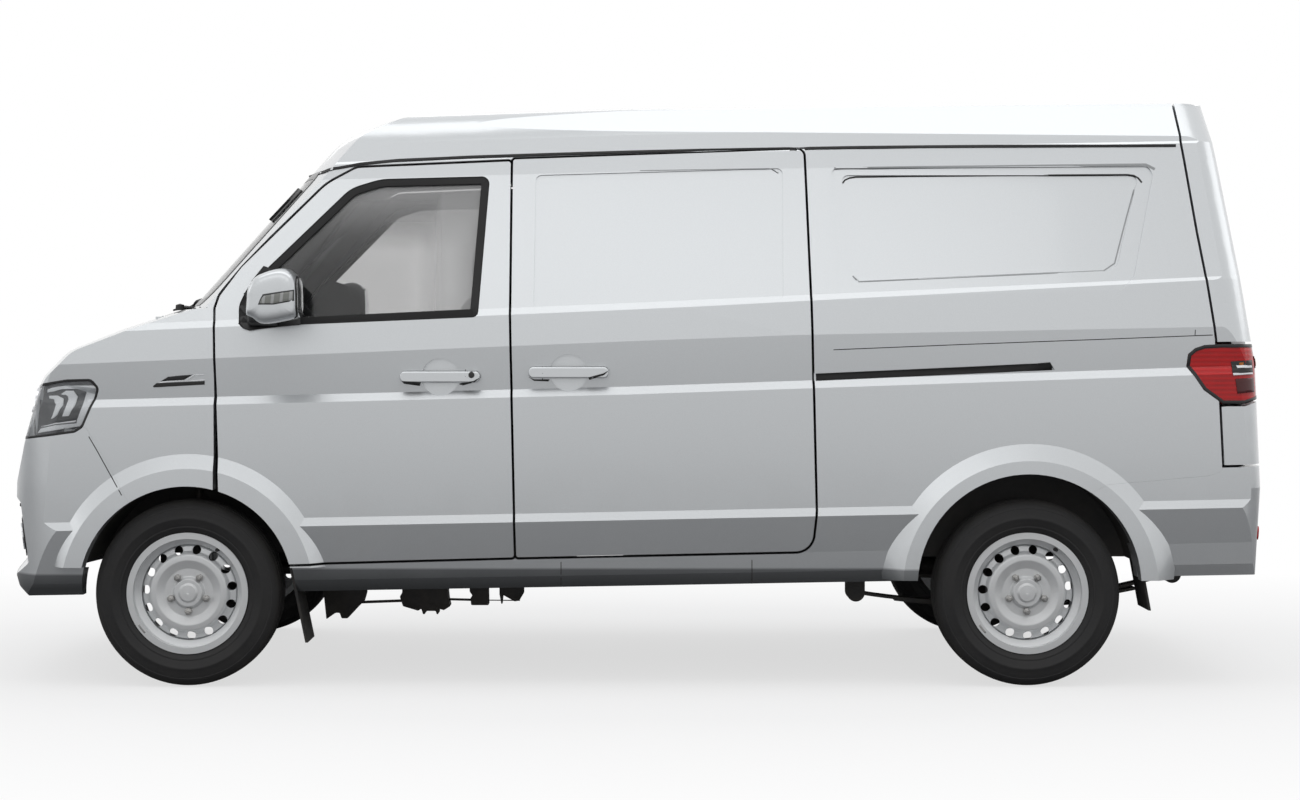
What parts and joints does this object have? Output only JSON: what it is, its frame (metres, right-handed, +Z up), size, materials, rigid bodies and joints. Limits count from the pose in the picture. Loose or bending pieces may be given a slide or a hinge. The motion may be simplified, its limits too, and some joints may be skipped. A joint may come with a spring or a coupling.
{
  "type": "mini cargo van",
  "caption": "Small panel van with cab doors, sliding side doors, a lifting tailgate and hood, and steered front wheels ahead of the cab.",
  "frame": {"origin": "on the ground, midway along the van and on its centre line", "axes": "+X towards the tail, +Y to the van's right side, +Z up"},
  "size_m": [4.1487, 1.97, 1.9291],
  "materials": {
    "body_paint": "gloss white paint",
    "glass": "tinted",
    "tyre": "matt",
    "wheel_steel": "silver paint",
    "underbody": "matt black paint",
    "black_plastic": "grained",
    "headlamp": "clear over grey",
    "tail_lamp": "red lens",
    "cast_metal": "as cast",
    "bare_steel": "dull",
    "seat_fabric": "woven",
    "dash_plastic": "grained",
    "rubber": "matt"
  },
  "bodies": {
    "root": {"floor_pan": "underbody", "chassis_frame": "underbody", "side_panel_left": "body_paint", "side_panel_right": "body_paint", "front_fender_left": "body_paint", "front_fender_right": "body_paint", "slide_door_left": "body_paint", "slide_door_right": "body_paint", "roof_panel": "body_paint", "windshield": "glass", "cowl": "black_plastic", "front_bumper": "body_paint", "front_grille": "black_plastic", "headlamps": "headlamp", "rear_bumper": "body_paint", "tail_lamps": "tail_lamp", "lower_arms": "underbody", "steering_rack": "cast_metal", "rear_axle": "underbody", "leaf_springs": "underbody", "engine_block": "cast_metal", "drive_shaft": "underbody", "exhaust": "bare_steel", "fuel_tank": "underbody", "spare_wheel": "tyre", "mud_flaps": "rubber", "front_seats": "seat_fabric", "dashboard": "dash_plastic"},
    "hood": {"hood": "body_paint"},
    "tailgate": {"tailgate": "body_paint", "tailgate_glass": "glass"},
    "front_door_left": {"front_door_left": "body_paint", "door_glass_left": "glass", "door_mirror_left": "body_paint"},
    "front_door_right": {"front_door_right": "body_paint", "door_glass_right": "glass", "door_mirror_right": "body_paint"},
    "knuckle_left": {"knuckle_left": "cast_metal"},
    "knuckle_right": {"knuckle_right": "cast_metal"},
    "steering_wheel": {"steering_wheel": "dash_plastic"},
    "wheel_front_left": {"tyre_front_left": "tyre", "rim_front_left": "wheel_steel"},
    "wheel_front_right": {"tyre_front_right": "tyre", "rim_front_right": "wheel_steel"},
    "wheel_rear_left": {"tyre_rear_left": "tyre", "rim_rear_left": "wheel_steel"},
    "wheel_rear_right": {"tyre_rear_right": "tyre", "rim_rear_right": "wheel_steel"}
  },
  "joints": [
    {"name": "steer_left", "type": "hinge", "parent": "root", "child": "knuckle_left", "pos_m": [-1.415, -0.64, 0.2], "axis": [0, 0.2074, 0.9782], "range_deg": [-33, 33]},
    {"name": "steer_right", "type": "hinge", "parent": "root", "child": "knuckle_right", "pos_m": [-1.415, 0.64, 0.2], "axis": [0, -0.2074, 0.9782], "range_deg": [-33, 33]},
    {"name": "roll_front_left", "type": "hinge", "parent": "knuckle_left", "child": "wheel_front_left", "pos_m": [-1.415, -0.69, 0.3], "axis": [0, 1, 0], "continuous": true},
    {"name": "roll_front_right", "type": "hinge", "parent": "knuckle_right", "child": "wheel_front_right", "pos_m": [-1.415, 0.69, 0.3], "axis": [0, 1, 0], "continuous": true},
    {"name": "roll_rear_left", "type": "hinge", "parent": "root", "child": "wheel_rear_left", "pos_m": [1.285, -0.69, 0.3], "axis": [0, 1, 0], "continuous": true},
    {"name": "roll_rear_right", "type": "hinge", "parent": "root", "child": "wheel_rear_right", "pos_m": [1.285, 0.69, 0.3], "axis": [0, 1, 0], "continuous": true},
    {"name": "steering_wheel_turn", "type": "hinge", "parent": "root", "child": "steering_wheel", "pos_m": [-1.02, -0.36, 1.09], "axis": [0.8192, 0, 0.5736], "range_deg": [-500, 500]},
    {"name": "front_door_left_hinge", "type": "hinge", "parent": "root", "child": "front_door_left", "pos_m": [-1.24, -0.802, 0.8], "axis": [0, 0, 1], "range_deg": [-65, 0]},
    {"name": "front_door_right_hinge", "type": "hinge", "parent": "root", "child": "front_door_right", "pos_m": [-1.24, 0.802, 0.8], "axis": [0, 0, 1], "range_deg": [0, 65]},
    {"name": "hood_hinge", "type": "hinge", "parent": "root", "child": "hood", "pos_m": [-1.532, 0, 1.189], "axis": [0, 1, 0], "range_deg": [0, 50]},
    {"name": "tailgate_hinge", "type": "hinge", "parent": "root", "child": "tailgate", "pos_m": [1.796, 0, 1.919], "axis": [0, -1, 0], "range_deg": [0, 80]}
  ],
  "couplings": [
    {"joint": "steer_right", "follows": "steer_left", "ratio": 1},
    {"joint": "steering_wheel_turn", "follows": "steer_left", "ratio": 14}
  ]
}
